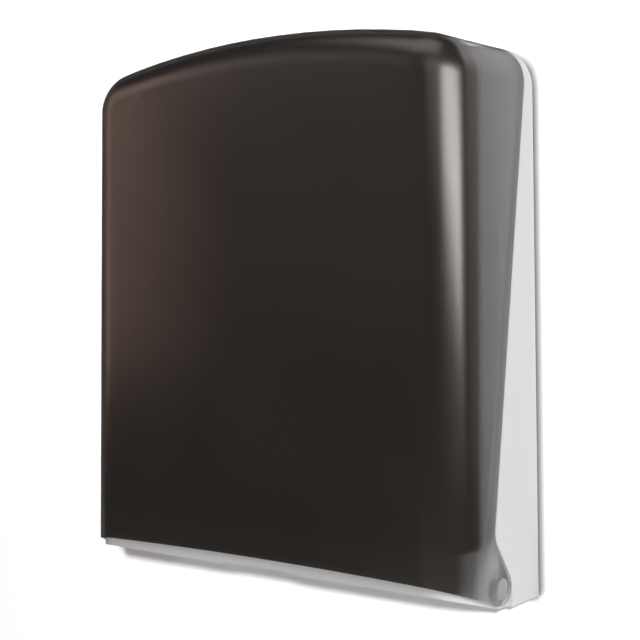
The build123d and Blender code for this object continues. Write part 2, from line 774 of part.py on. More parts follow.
export_step(latch_keeper.part, "parts/latch_keeper.step")

# Small flat-topped screws: two hold the keeper on its shelf and two hold the tray on the rear flange
with BuildPart() as keeper_screws:
    seat = shelf_top + keeper_wall
    with BuildSketch(Plane.XY.offset(seat)):
        with Locations(*keeper_screw_places):
            Circle(small_head_radius)
    extrude(amount=small_head)
    with BuildSketch(Plane.XY.offset(seat)):
        with Locations(*keeper_screw_places):
            Circle(small_screw_radius)
    extrude(amount=-small_screw_length + screw_end_gap)
keeper_screws.part.label = "keeper_screws"
export_step(keeper_screws.part, "parts/keeper_screws.step")
with BuildPart() as tray_screws:
    with BuildSketch(Plane.XY.offset(underside + tray_base)):
        with Locations(*tray_screw_places):
            Circle(small_head_radius)
    extrude(amount=small_head)
    with BuildSketch(Plane.XY.offset(underside + tray_base)):
        with Locations(*tray_screw_places):
            Circle(small_screw_radius)
    extrude(amount=-tray_screw_length)
tray_screws.part.label = "tray_screws"
export_step(tray_screws.part, "parts/tray_screws.step")
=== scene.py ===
# %% [markdown]
# # A folded towel dispenser with a smoke cover
# The dispenser hangs on a washroom wall. A white moulded housing carries the tray and the towels, and a
# smoke translucent cover, hinged at the bottom and locked at the top, closes over it. This lesson dresses
# the CAD model: every part gets soft moulded edges and a finish, and the cover is modelled again as a
# smooth shell, because its long rounds catch the light and the CAD facets would show in them.

import bpy
import json
from math import asin, atan, cos, pi, radians, sin, sqrt, tan
from mathutils import Matrix, Vector


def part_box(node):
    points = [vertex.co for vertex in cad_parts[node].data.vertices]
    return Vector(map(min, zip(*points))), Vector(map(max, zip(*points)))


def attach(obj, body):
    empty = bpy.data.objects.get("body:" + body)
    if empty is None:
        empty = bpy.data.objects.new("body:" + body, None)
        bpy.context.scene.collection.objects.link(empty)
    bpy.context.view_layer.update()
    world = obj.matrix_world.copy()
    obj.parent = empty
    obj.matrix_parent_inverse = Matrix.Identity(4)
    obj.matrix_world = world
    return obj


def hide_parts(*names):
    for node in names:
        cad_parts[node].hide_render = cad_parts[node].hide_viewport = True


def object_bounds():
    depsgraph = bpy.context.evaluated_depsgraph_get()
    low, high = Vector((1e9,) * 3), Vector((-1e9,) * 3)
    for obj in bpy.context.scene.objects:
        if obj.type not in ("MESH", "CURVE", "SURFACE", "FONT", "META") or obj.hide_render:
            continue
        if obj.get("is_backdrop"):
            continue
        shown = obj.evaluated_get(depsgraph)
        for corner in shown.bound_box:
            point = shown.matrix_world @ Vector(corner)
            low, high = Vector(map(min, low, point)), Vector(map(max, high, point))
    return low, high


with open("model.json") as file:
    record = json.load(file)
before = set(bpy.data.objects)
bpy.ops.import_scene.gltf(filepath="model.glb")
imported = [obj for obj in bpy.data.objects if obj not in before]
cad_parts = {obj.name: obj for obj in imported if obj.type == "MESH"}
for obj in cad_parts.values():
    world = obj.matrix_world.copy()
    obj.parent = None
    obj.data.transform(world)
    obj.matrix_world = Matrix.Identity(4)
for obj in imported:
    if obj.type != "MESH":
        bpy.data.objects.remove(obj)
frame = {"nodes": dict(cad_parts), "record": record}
nodes = frame["nodes"]
cad_low, cad_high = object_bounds()

# %% [markdown]
# ## Sizes
# The sizes are the ones that the parts are built from, in millimetres, and one factor turns them into
# metres. "Forward" is a distance from the wall towards the user, along -Y, and "up" is a height above the
# underside.

# %% Driving sizes
mm = 0.001
width, height, depth = 270.0, 320.2, 91.0
side_taper, crown_rise = 4.6, 14.8
corner_radius, front_radius = 25.0, 21.0
draft_angle = radians(1.8)
mount_height = 160.0
cover_wall = 2.5
seam_top, seam_lean = 4.6, radians(9.0)
ear_radius, ear_pad = 9.2, 1.5
ear_flank, ear_bend = radians(54.7), 14.0
lower_slope, lower_arch = radians(18.7), 2.4
hinge_forward, hinge_up = 40.5, 11.6
pin_radius, pin_play = 3.0, 0.05
pin_head_radius, pin_head_play = 6.0, 0.4
pin_head, pin_head_sink = 1.6, 0.2
lock_forward, lock_seat_drop = 24.0, 2.3
lock_seat_radius, lock_pad_radius, lock_pad = 12.0, 15.0, 3.6
barrel_hole_radius = 8.1
past = 12.0  # how far a cutting form runs past what it cuts

underside = -mount_height
crown = underside + height
hinge_z = underside + hinge_up
shoulder = crown - crown_rise
draft_fall = tan(draft_angle)
taper_fall = side_taper / (shoulder - underside)
arch_half = width / 2 - side_taper
arch_radius = (arch_half**2 + crown_rise**2) / (2 * crown_rise)
lock_seat = crown - lock_seat_drop


def side_at(forward, up, inset):
    """Distance of a side wall from the middle, at one place."""
    return width / 2 - inset - draft_fall * forward - taper_fall * up


ear_outer = side_at(hinge_forward, hinge_up, 0)
head_seat = ear_outer - pin_head_sink - pin_head
pad_inner = ear_outer - cover_wall - ear_pad
print("crown", crown, "arch radius", round(arch_radius), "ear outer face", round(ear_outer, 2))

# %% [markdown]
# ## Primitives
# Each piece starts as a primitive at its size and place. A block is given by two corners and a disc by the
# ends of its axis, and both have their place and size put into the mesh, so that the object stays at the
# origin.

# %% Primitives
disc_sides = 64  # enough for the round seats and bores to look round


def only(piece):
    """Selects one object and nothing else."""
    if bpy.context.object and bpy.context.object.mode != "OBJECT":
        bpy.ops.object.mode_set(mode="OBJECT")
    bpy.ops.object.select_all(action="DESELECT")
    piece.select_set(True)
    bpy.context.view_layer.objects.active = piece


def named(name):
    """Names the primitive that was just added and puts its place and size into its mesh."""
    piece = bpy.context.object
    piece.name = name
    bpy.ops.object.transform_apply(location=True, rotation=True, scale=True)
    return piece


def block(name, low, high):
    """A cube primitive that fills the box between two corners in millimetres."""
    low, high = Vector(low) * mm, Vector(high) * mm
    bpy.ops.object.select_all(action="DESELECT")
    bpy.ops.mesh.primitive_cube_add(size=1, location=(low + high) / 2)
    bpy.context.object.scale = high - low
    return named(name)


def disc(name, radius, start, end):
    """A cylinder primitive from one point to another along an axis, in millimetres."""
    start, end = Vector(start) * mm, Vector(end) * mm
    run = end - start
    bpy.ops.object.select_all(action="DESELECT")
    bpy.ops.mesh.primitive_cylinder_add(vertices=disc_sides, radius=radius * mm, depth=run.length)
    along = run.to_track_quat("Z", "Y").to_matrix().to_4x4()
    bpy.context.object.matrix_world = Matrix.Translation((start + end) / 2) @ along
    return named(name)


print("primitives ready, discs have", disc_sides, "sides")

# %% [markdown]
# ## Picking and cutting
# A piece is shaped in edit mode on the vertices, edges or faces that a rule picks. One piece can cut
# another, be joined to it, or leave only what both share, as with a mould's cavity and its core.


# %% Picking and cutting
def pick(piece, kind, wanted):
    """Goes into edit mode with those vertices, edges or faces selected for which wanted() is true."""
    only(piece)
    bpy.ops.object.mode_set(mode="EDIT")
    bpy.ops.mesh.select_mode(type=kind)
    bpy.ops.mesh.select_all(action="DESELECT")
    bpy.ops.object.mode_set(mode="OBJECT")
    mesh = piece.data
    items = {"VERT": mesh.vertices, "EDGE": mesh.edges, "FACE": mesh.polygons}[kind]
    for item in items:
        item.select = wanted(item)
    bpy.ops.object.mode_set(mode="EDIT")


def ends(piece, edge):
    """The two end points of an edge, in millimetres."""
    return [piece.data.vertices[i].co / mm for i in edge.vertices]


def use(piece, kind, **settings):
    """Adds a modifier with these settings and applies it."""
    only(piece)
    modifier = piece.modifiers.new(kind.lower(), kind)
    for name, value in settings.items():
        setattr(modifier, name, value)
    bpy.ops.object.modifier_apply(modifier=modifier.name)


def combine(piece, tool, operation):
    """Cuts the piece with a tool, joins the tool to it, or keeps what they share. The tool is then gone."""
    use(piece, "BOOLEAN", operation=operation, object=tool, solver="EXACT")
    bpy.data.objects.remove(tool)


print("picking and cutting ready")

# %% [markdown]
# ## The arch and the rounds
# The top is an arc between two shoulders. It sinks a little towards the front, because every wall of a
# moulding leans so that it leaves the mould. A round's size on the bevel tool is its tangent length, which
# makes the radius come out true at any corner.


# %% Arch and rounds
def arch_height(x, forward, inset):
    """Height of the arched top at one place."""
    radius = arch_radius - inset - draft_fall * forward
    return crown - arch_radius + sqrt(radius**2 - x**2)


def tangent_length(radius, turn):
    """How far from a corner a round of this radius begins, where the outline turns by this angle."""
    return radius * tan(turn / 2)


print("arch at the middle and at its end:", [round(arch_height(x, 0, 0), 1) for x in (0, arch_half)])

# %% [markdown]
# ## The moulded form
# Cover and housing share one drafted form: leaning sides, an arched top with rounded corners, and a front
# whose edges are rounded. A block is cut into columns, its top vertices are lifted to the arch, and two
# bevels make the rounds.

# %% The moulded form
arch_columns = 25
corner_steps = 12
front_steps = 12
column_gap = 2.0  # from the outermost column to where the corner's round begins
nearly = 0.99  # a share or a direction above this counts as whole
slack = 0.01  # how exactly a place is met


def moulded_form(name, inset):
    """The closed outer form, or the same form shrunk evenly by inset."""
    low = underside - past
    front = depth - inset
    piece = block(name, (-1, -front, low), (1, past, crown))
    corner_turn = pi / 2 - asin(arch_half / arch_radius) - atan(taper_fall)
    corner_run = tangent_length(corner_radius - inset, corner_turn)
    reach = arch_half - inset - corner_run - draft_fall * depth - column_gap
    only(piece)
    bpy.ops.object.mode_set(mode="EDIT")
    for column in range(arch_columns):
        share = 2 * (column + 1) / (arch_columns + 1) - 1
        bpy.ops.mesh.select_all(action="SELECT")
        bpy.ops.mesh.bisect(plane_co=(share * mm, 0, 0), plane_no=(1, 0, 0))
    bpy.ops.object.mode_set(mode="OBJECT")
    outermost = (arch_columns - 1) / (arch_columns + 1)
    for vertex in piece.data.vertices:
        share, forward = vertex.co.x / mm, -vertex.co.y / mm
        is_top = vertex.co.z > 0
        if abs(share) > nearly:
            x = side_at(forward, (shoulder if is_top else low) - underside, inset) * (1 if share > 0 else -1)
        else:
            x = share / outermost * reach
        vertex.co.x = x * mm
        if is_top:
            vertex.co.z = arch_height(x, forward, inset) * mm
    for sign in (-1, 1):
        pick(piece, "FACE", lambda face: sign * face.normal.y > nearly)
        bpy.ops.mesh.dissolve_faces()
    beyond_columns = side_at(0, height, inset) - 2 * draft_fall * depth - column_gap

    def is_corner_edge(edge):
        a, b = ends(piece, edge)
        return min(abs(a.x), abs(b.x)) > beyond_columns and min(a.z, b.z) > 0 and abs(a.y - b.y) > depth / 2

    pick(piece, "EDGE", is_corner_edge)
    bpy.ops.mesh.bevel(offset=corner_run * mm, segments=corner_steps, profile=0.5, clamp_overlap=False)

    def is_front_edge(edge):
        a, b = ends(piece, edge)
        return max(a.y, b.y) < -front + slack and max(a.z, b.z) > low + slack

    pick(piece, "EDGE", is_front_edge)
    front_run = tangent_length(front_radius - inset, pi / 2 - draft_angle)
    bpy.ops.mesh.bevel(offset=front_run * mm, segments=front_steps, profile=0.5, clamp_overlap=False)
    bpy.ops.object.mode_set(mode="OBJECT")
    return piece


cover_shell = moulded_form("cover_shell", 0)
corners = [tuple(round(v / mm, 1) for v in corner) for corner in cover_shell.bound_box]
print("outer form faces", len(cover_shell.data.polygons), "box from", corners[0], "to", corners[6])

# %% [markdown]
# ## The cover's outline from the side
# The cover's rear edge leans away from the wall, runs into a flank and ends in a round ear at the hinge.
# Its lower edge rises towards the front. One side outline, with arcs for the ear and the bend, cuts all of
# it.

# %% The cover's outline from the side
ear_steps, bend_steps = 28, 8


def arc(centre, radius, start, end, steps):
    """Points of an arc in the side view, with angles measured from forward towards up."""
    turns = [start + (end - start) * step / steps for step in range(steps + 1)]
    return [(centre[0] + radius * cos(turn), centre[1] + radius * sin(turn)) for turn in turns]


def side_outline():
    """The cover region in the side view, as (forward, z) points."""
    flank_top = (hinge_forward - ear_radius * sin(ear_flank), hinge_z + ear_radius * cos(ear_flank))
    ear_start, ear_end = pi / 2 + ear_flank, 3 * pi / 2 + lower_slope
    ear = arc((hinge_forward, hinge_z), ear_radius, ear_start, ear_end, ear_steps)
    seam_fall = tan(seam_lean)
    to_seam = seam_top + (crown - flank_top[1]) * seam_fall - flank_top[0]
    run = to_seam / (cos(ear_flank) + seam_fall * sin(ear_flank))
    corner = (flank_top[0] + run * cos(ear_flank), flank_top[1] + run * sin(ear_flank))
    turn = pi / 2 + seam_lean - ear_flank
    tangent = tangent_length(ear_bend, turn)
    start = (corner[0] - tangent * sin(seam_lean), corner[1] + tangent * cos(seam_lean))
    middle = (start[0] - ear_bend * cos(seam_lean), start[1] - ear_bend * sin(seam_lean))
    bend = arc(middle, ear_bend, seam_lean, seam_lean - turn, bend_steps)
    bottom = ear[-1]
    front = depth + past
    lower = (front, bottom[1] + (front - bottom[0]) * tan(lower_slope))
    top = crown + past
    return [lower, (front, top), (seam_top - past * seam_fall, top)] + bend + ear


outline = [(-width, -forward, z) for forward, z in side_outline()]
print("outline points", len(outline), "bend at", [round(v, 1) for v in side_outline()[3]])

# %% [markdown]
# ## Cutting the shell
# The mould's core leaves an even wall, so a smaller copy of the form is taken out of the outer one. The
# side outline then trims it, and an arched cut lifts the middle of the lower edge a little.

# %% Cut the shell
lift_steps = 24


def prism(name, points, run):
    """An outline given as points in millimetres, extruded along a vector."""
    mesh = bpy.data.meshes.new(name)
    mesh.from_pydata([Vector(p) * mm for p in points], [], [range(len(points))])
    piece = bpy.data.objects.new(name, mesh)
    bpy.context.collection.objects.link(piece)
    pick(piece, "FACE", lambda face: True)
    bpy.ops.mesh.extrude_region_move(TRANSFORM_OT_translate={"value": Vector(run) * mm})
    bpy.ops.mesh.select_all(action="SELECT")
    bpy.ops.mesh.normals_make_consistent(inside=False)
    bpy.ops.object.mode_set(mode="OBJECT")
    return piece


inner_form = moulded_form("inner_form", cover_wall)
combine(cover_shell, inner_form, "DIFFERENCE")
combine(cover_shell, prism("side_region", outline, (2 * width, 0, 0)), "INTERSECT")

bottom_forward = hinge_forward + ear_radius * sin(lower_slope)
bottom_z = hinge_z - ear_radius * cos(lower_slope)
edge = width / 2
lift_radius = (edge**2 + lower_arch**2) / (2 * lower_arch)
lift_angle = asin(edge / lift_radius)
under_points = [(-width, bottom_z)]
for step in range(lift_steps + 1):
    turn = lift_angle * (2 * step / lift_steps - 1)
    under_points.append((lift_radius * sin(turn), bottom_z + lower_arch - lift_radius * (1 - cos(turn))))
under_points += [(width, bottom_z), (width, bottom_z - height), (-width, bottom_z - height)]
sweep_run = (0, -depth * cos(lower_slope), depth * sin(lower_slope))
under_cut = prism("under_cut", [(x, -bottom_forward, z) for x, z in under_points], sweep_run)
combine(cover_shell, under_cut, "DIFFERENCE")
print("shell faces", len(cover_shell.data.polygons))

# %% [markdown]
# ## Ears and lock seat
# Each ear is thickened on its inside, is bored for the hinge pin and has a round seat for the pin's head.
# The top has a pad below a flat round seat, and the lock's hole goes through both. A small bevel then
# takes the knife edges away, as the mould does, and the shading stays creased only where faces meet at a
# clear angle.

# %% Ears and lock seat
cover_edge = 0.35
bevel_angle = radians(40)  # edges that turn more than this get the bevel
crease_angle = radians(30)  # faces that meet at more than this keep a crease in the shading


def soften(piece, edge_mm):
    """Bevels a piece's sharp edges and shades the rest of it smooth."""
    use(piece, "BEVEL", width=edge_mm * mm, segments=2, limit_method="ANGLE", angle_limit=bevel_angle)
    only(piece)
    bpy.ops.object.shade_smooth_by_angle(angle=crease_angle)


ear_middle = ear_outer - cover_wall / 2
for side in (1, -1):
    hinge = (-hinge_forward, hinge_z)
    pad = disc("pad", ear_radius, (side * pad_inner, *hinge), (side * ear_middle, *hinge))
    combine(cover_shell, pad, "UNION")
    seat = disc("seat", pin_head_radius + pin_head_play, (side * head_seat, *hinge), (side * width, *hinge))
    combine(cover_shell, seat, "DIFFERENCE")
    bore = disc("bore", pin_radius + pin_play, (side * width / 3, *hinge), (side * width, *hinge))
    combine(cover_shell, bore, "DIFFERENCE")
lock_at = (0, -lock_forward)
for name, radius, low_z, high_z, operation in (
    ("pad", lock_pad_radius, lock_seat - lock_pad, lock_seat, "UNION"),
    ("seat", lock_seat_radius, lock_seat, crown + past, "DIFFERENCE"),
    ("hole", barrel_hole_radius, shoulder - past, crown, "DIFFERENCE"),
):
    combine(cover_shell, disc(name, radius, (*lock_at, low_z), (*lock_at, high_z)), operation)
soften(cover_shell, cover_edge)
print("cover faces", len(cover_shell.data.polygons))
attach(cover_shell, "cover")
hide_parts("front_cover")

# %% [markdown]
# ## Crosses in the screws
# The screws of such a dispenser have a cross for the driver. Two thin blocks make one cross, and its width
# and blade are shares of the head's radius, so that one rule serves the small screws and the large one.

# %% Crosses in the screws
head_radius = {"keeper_screws": 3.0, "tray_screws": 3.0, "cam_screw": 4.6}
cross_reach, cross_blade = 0.62, 0.24  # shares of the head's radius
cross_depth = 0.9


def cross_recesses(node):
    """One cross for the driver per screw. The heads look up, but the cam screw's looks down."""
    low, high = (Vector(corner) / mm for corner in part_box(node))
    radius = head_radius[node]
    middle_y = (low.y + high.y) / 2
    face_z, inwards = (low.z, 1) if node == "cam_screw" else (high.z, -1)
    levels = sorted((face_z - inwards * past, face_z + inwards * cross_depth))
    crosses = []
    for x in sorted({round(low.x + radius, 3), round(high.x - radius, 3)}):
        arms = []
        for half_x, half_y in ((cross_reach, cross_blade / 2), (cross_blade / 2, cross_reach)):
            near = (x - half_x * radius, middle_y - half_y * radius, levels[0])
            far = (x + half_x * radius, middle_y + half_y * radius, levels[1])
            arms.append(block("cross_arm", near, far))
        combine(arms[0], arms[1], "UNION")
        crosses.append(arms[0])
    return crosses


print("crosses for", list(head_radius))

# %% [markdown]
# ## Soft edges for the other parts
# A moulded or stamped part never has a knife edge. A copy of each CAD part is merged into one surface, its
# flat triangles are dissolved into whole faces, and its edges get a small bevel that catches the light.

# %% Soft edges
weld = 0.002  # corners closer than this become one
flat_angle = radians(0.5)  # faces that meet at less than this become one
plain_edge = 0.15  # for the small metal parts
edge_of = {
    "rear_housing": 0.4,
    "towel_tray": 0.35,
    "left_paper_guide": 0.3,
    "right_paper_guide": 0.3,
    "lock_barrel": 0.4,
    "left_hinge_pin": 0.3,
    "right_hinge_pin": 0.3,
}


def softened(node, body, edge_mm, cuts=()):
    """A copy of a CAD part with its small cuts and rounded edges, riding on the same body."""
    source = nodes[node]
    piece = source.copy()
    piece.data = source.data.copy()
    piece.name = node + "_soft"
    bpy.context.collection.objects.link(piece)
    piece.parent = None
    piece.matrix_world = Matrix.Identity(4)
    only(piece)
    bpy.ops.object.mode_set(mode="EDIT")
    bpy.ops.mesh.select_mode(type="FACE")
    bpy.ops.mesh.select_all(action="SELECT")
    bpy.ops.mesh.remove_doubles(threshold=weld * mm)
    bpy.ops.mesh.dissolve_limited(angle_limit=flat_angle)
    bpy.ops.object.mode_set(mode="OBJECT")
    for tool in cuts:
        combine(piece, tool, "DIFFERENCE")
    soften(piece, edge_mm)
    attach(piece, body)
    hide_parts(node)
    return piece


record = frame["record"]
slot_of = {part["node"]: part["material_slot"] for part in record["subparts"]}
body_of = {}
for body, members in record["behaviour"]["bodies"].items():
    for member in members:
        body_of[member] = body
dressed = {"cover_shell": cover_shell}
for node in nodes:
    if node != "front_cover":
        cuts = cross_recesses(node) if node in head_radius else ()
        dressed[node] = softened(node, body_of[node], edge_of.get(node, plain_edge), cuts)
print("dressed", {name: len(piece.data.polygons) for name, piece in dressed.items()})

# %% [markdown]
# ## Steps for the materials
# The effects below are built from a few small steps: arithmetic on values, a blend between two of them, a
# smooth change from one level to another, and noise. Each effect is a node group that gives out masks or
# heights.


# %% Steps for the materials
def group_tree(name, outputs, kind="NodeSocketFloat"):
    """A new node group with these outputs and its group output node."""
    tree = bpy.data.node_groups.new(name, "ShaderNodeTree")
    for output in outputs:
        tree.interface.new_socket(output, in_out="OUTPUT", socket_type=kind)
    return tree, tree.nodes.new("NodeGroupOutput")


def feed(tree, value, socket):
    """Writes a number into a socket, or links another socket to it."""
    if isinstance(value, float):
        socket.default_value = value
    else:
        tree.links.new(value, socket)


def arithmetic(tree, operation, first, second=None):
    """One step of arithmetic on one or two values."""
    step = tree.nodes.new("ShaderNodeMath")
    step.operation = operation
    feed(tree, first, step.inputs[0])
    if second is not None:
        feed(tree, second, step.inputs[1])
    return step.outputs["Value"]


def between_values(tree, factor, low, high):
    """Goes from the low value to the high one with the factor."""
    blend = tree.nodes.new("ShaderNodeMix")
    tree.links.new(factor, blend.inputs["Factor"])
    feed(tree, low, blend.inputs["A"])
    feed(tree, high, blend.inputs["B"])
    return blend.outputs["Result"]


def smooth_step(tree, value, start, end, low=0.0, high=1.0):
    """Goes smoothly from low to high while the value goes from start to end."""
    step = tree.nodes.new("ShaderNodeMapRange")
    step.interpolation_type = "SMOOTHSTEP"
    for socket, number in (("From Min", start), ("From Max", end), ("To Min", low), ("To Max", high)):
        step.inputs[socket].default_value = number
    tree.links.new(value, step.inputs["Value"])
    return step.outputs["Result"]


def noise(tree, coordinates, scale, detail):
    """A noise texture on object coordinates, with its scale in waves per metre."""
    texture = tree.nodes.new("ShaderNodeTexNoise")
    texture.inputs["Scale"].default_value = scale
    texture.inputs["Detail"].default_value = detail
    tree.links.new(coordinates, texture.inputs["Vector"])
    return texture.outputs["Fac"]


print("steps ready")

# %% [markdown]
# ## Grain and tool lines
# A mould's texture shows as a fine grain, and a moulding also changes slowly in colour and gloss across
# its width. Turned and stamped metal has fine lines from the tool, and its plating is a little blotchy.
# The numbers are waves per metre and the detail in them.

# %% Grain and tool lines
grain_scale, grain_slow_scale = 1800.0, 14.0
line_scale, line_stretch, blotch_scale = 900.0, 14.0, 260.0


def mould_grain():
    """Height of the fine mould texture, and a slow change across the part."""
    tree, out = group_tree("mould_grain", ("Height", "Slow"))
    place = tree.nodes.new("ShaderNodeTexCoord").outputs["Object"]
    tree.links.new(noise(tree, place, grain_scale, 3.0), out.inputs["Height"])
    tree.links.new(noise(tree, place, grain_slow_scale, 4.0), out.inputs["Slow"])
    return tree


def brushed_lines():
    """Height of fine tool lines on turned and stamped metal, and blotches of the plating."""
    tree, out = group_tree("brushed_lines", ("Height", "Blotch"))
    place = tree.nodes.new("ShaderNodeTexCoord").outputs["Object"]
    stretch = tree.nodes.new("ShaderNodeMapping")
    stretch.inputs["Scale"].default_value = (1.0, 1.0, line_stretch)
    tree.links.new(place, stretch.inputs["Vector"])
    tree.links.new(noise(tree, stretch.outputs["Vector"], line_scale, 2.0), out.inputs["Height"])
    tree.links.new(noise(tree, place, blotch_scale, 3.0), out.inputs["Blotch"])
    return tree


grain_tree = mould_grain()
lines_tree = brushed_lines()
print("groups:", grain_tree.name, "and", lines_tree.name)

# %% [markdown]
# ## What lies close behind the smoke
# Where a white part is close behind the smoke sheet, the sheet looks clear, and it looks dark over the
# empty space further in. Four masks say where: over the housing's side walls, over the tray's front wall,
# over the bosses behind the ears, and along the rear edge, where the sheet's own thickness shows dark.

# %% Masks for the smoke
haze_forward, haze_height = 64.5, 80.9  # a point of the line where the cover's side begins to grow clearer
haze_lean = 0.0167  # this line leans forward towards the bottom
haze_run = 9.5  # from the line to where the side is as clear as it gets
tray_top = -123.0  # top edge of the tray's front wall, behind the cover
tray_line = 1.8  # softness of the tray's edge seen through the cover
tray_corner_start, tray_corner_end = 126.5, 132.8  # from the middle, where the tray's lit corner shows
ear_glow_start, ear_glow_end = 36.0, 13.0  # from the hinge's axis, where the boss behind the ear shows
rim_start, rim_end = 1.3, 0.4  # from the rear edge, where the sheet's own thickness shows


def ramp(tree, value, start, end):
    """Rises smoothly from 0 to 1 while the value goes from start to end, both in millimetres."""
    return smooth_step(tree, value, start * mm, end * mm)


def beyond(tree, place, point, normal):
    """How far a place lies past the plane through a point in millimetres, on the side of the normal."""
    offset = tree.nodes.new("ShaderNodeVectorMath")
    offset.operation = "SUBTRACT"
    offset.inputs[1].default_value = point * mm
    along = tree.nodes.new("ShaderNodeVectorMath")
    along.operation = "DOT_PRODUCT"
    along.inputs[1].default_value = normal
    tree.links.new(place, offset.inputs[0])
    tree.links.new(offset.outputs["Vector"], along.inputs[0])
    return along.outputs["Value"]


def close_behind():
    """Masks of what lies close behind the smoke: side walls, tray and bosses. The last is its rim."""
    tree, out = group_tree("close_behind", ("Wall", "Tray", "Ear", "Rim"))
    place = tree.nodes.new("ShaderNodeTexCoord").outputs["Object"]
    split = tree.nodes.new("ShaderNodeSeparateXYZ")
    tree.links.new(place, split.inputs["Vector"])
    x, y, z = (split.outputs[axis] for axis in "XYZ")
    side = ramp(tree, arithmetic(tree, "ABSOLUTE", x), tray_corner_start, tray_corner_end)
    tray = ramp(tree, z, tray_top + tray_line, tray_top - tray_line)
    haze_line = Vector((0, -haze_forward, haze_height))
    wall = ramp(tree, beyond(tree, place, haze_line, Vector((0, 1, -haze_lean))), 0, haze_run)
    tray_corner = arithmetic(tree, "MULTIPLY", tray, side)
    tree.links.new(arithmetic(tree, "MAXIMUM", wall, tray_corner), out.inputs["Wall"])
    tree.links.new(tray, out.inputs["Tray"])
    hinge = tree.nodes.new("ShaderNodeVectorMath")
    hinge.operation = "DISTANCE"
    hinge.inputs[1].default_value = (0, -hinge_forward * mm, hinge_z * mm)
    flat = tree.nodes.new("ShaderNodeCombineXYZ")
    tree.links.new(y, flat.inputs["Y"])
    tree.links.new(z, flat.inputs["Z"])
    tree.links.new(flat.outputs["Vector"], hinge.inputs[0])
    tree.links.new(ramp(tree, hinge.outputs["Value"], ear_glow_start, ear_glow_end), out.inputs["Ear"])
    seam_normal = Vector((0, -cos(seam_lean), sin(seam_lean)))
    seam = beyond(tree, place, Vector((0, -seam_top, crown)), seam_normal)
    flank_normal = Vector((0, -sin(ear_flank), -cos(ear_flank)))
    flank_point = Vector((0, -hinge_forward, hinge_z)) - ear_radius * flank_normal
    flank = beyond(tree, place, flank_point, flank_normal)
    rim = ramp(tree, arithmetic(tree, "MAXIMUM", seam, flank), rim_start, rim_end)
    tree.links.new(rim, out.inputs["Rim"])
    return tree


close_tree = close_behind()
print("masks:", [item.name for item in close_tree.interface.items_tree])

# %% [markdown]
# ## A slight crown on the front
# A large flat moulding swells a little across its front, and its reflections show that at once. The
# solid's front is flat, so the shading leans here as a crown of a few millimetres would make it lean.

# %% A slight crown on the front
swell = 4.0  # how much the crown rises over half the width


def front_swell():
    """The surface normal, leant as on a slight crown across the front."""
    tree, out = group_tree("front_swell", ("Normal",), "NodeSocketVector")
    place = tree.nodes.new("ShaderNodeTexCoord").outputs["Object"]
    across = tree.nodes.new("ShaderNodeVectorMath")
    across.operation = "MULTIPLY"
    across.inputs[1].default_value = (2 * swell * mm / (width / 2 * mm) ** 2, 0, 0)
    turned = tree.nodes.new("ShaderNodeVectorTransform")
    turned.vector_type = "VECTOR"
    turned.convert_from, turned.convert_to = "OBJECT", "WORLD"
    leant = tree.nodes.new("ShaderNodeVectorMath")
    leant.operation = "ADD"
    unit = tree.nodes.new("ShaderNodeVectorMath")
    unit.operation = "NORMALIZE"
    tree.links.new(place, across.inputs[0])
    tree.links.new(across.outputs["Vector"], turned.inputs["Vector"])
    tree.links.new(turned.outputs["Vector"], leant.inputs[0])
    tree.links.new(tree.nodes.new("ShaderNodeNewGeometry").outputs["Normal"], leant.inputs[1])
    tree.links.new(leant.outputs["Vector"], unit.inputs[0])
    tree.links.new(unit.outputs["Vector"], out.inputs["Normal"])
    return tree


swell_tree = front_swell()
print("lean at the side edge, in degrees:", round(atan(2 * swell / (width / 2)) * 180 / pi, 1))

# %% [markdown]
# ## Plastics and metals
# Each finish is one material with its own constants. The colour and the roughness follow the slow output
# of an effect between two near values, and the bump follows its fine height, so that no surface looks
# perfectly even.

# %% Plastics and metals
noise_low, noise_high = 0.2, 0.8  # noise seldom leaves this range


def finish(name, effect, colours, roughness, bump, **constants):
    """A material that varies between two colours and two roughnesses. Bump is a strength and a height."""
    material = bpy.data.materials.new(name)
    material.use_nodes = True
    tree = material.node_tree
    shader = tree.nodes["Principled BSDF"]
    group = tree.nodes.new("ShaderNodeGroup")
    group.node_tree = effect
    slow = group.outputs[1]
    mix = tree.nodes.new("ShaderNodeMix")
    mix.data_type = "RGBA"
    mix.inputs["A"].default_value = (*colours[0], 1)
    mix.inputs["B"].default_value = (*colours[1], 1)
    tree.links.new(slow, mix.inputs["Factor"])
    tree.links.new(mix.outputs["Result"], shader.inputs["Base Color"])
    tree.links.new(smooth_step(tree, slow, noise_low, noise_high, *roughness), shader.inputs["Roughness"])
    relief = tree.nodes.new("ShaderNodeBump")
    relief.inputs["Strength"].default_value = bump[0]
    relief.inputs["Distance"].default_value = bump[1] * mm
    tree.links.new(group.outputs["Height"], relief.inputs["Height"])
    tree.links.new(relief.outputs["Normal"], shader.inputs["Normal"])
    for socket, value in constants.items():
        shader.inputs[socket.replace("_", " ")].default_value = value
    return material


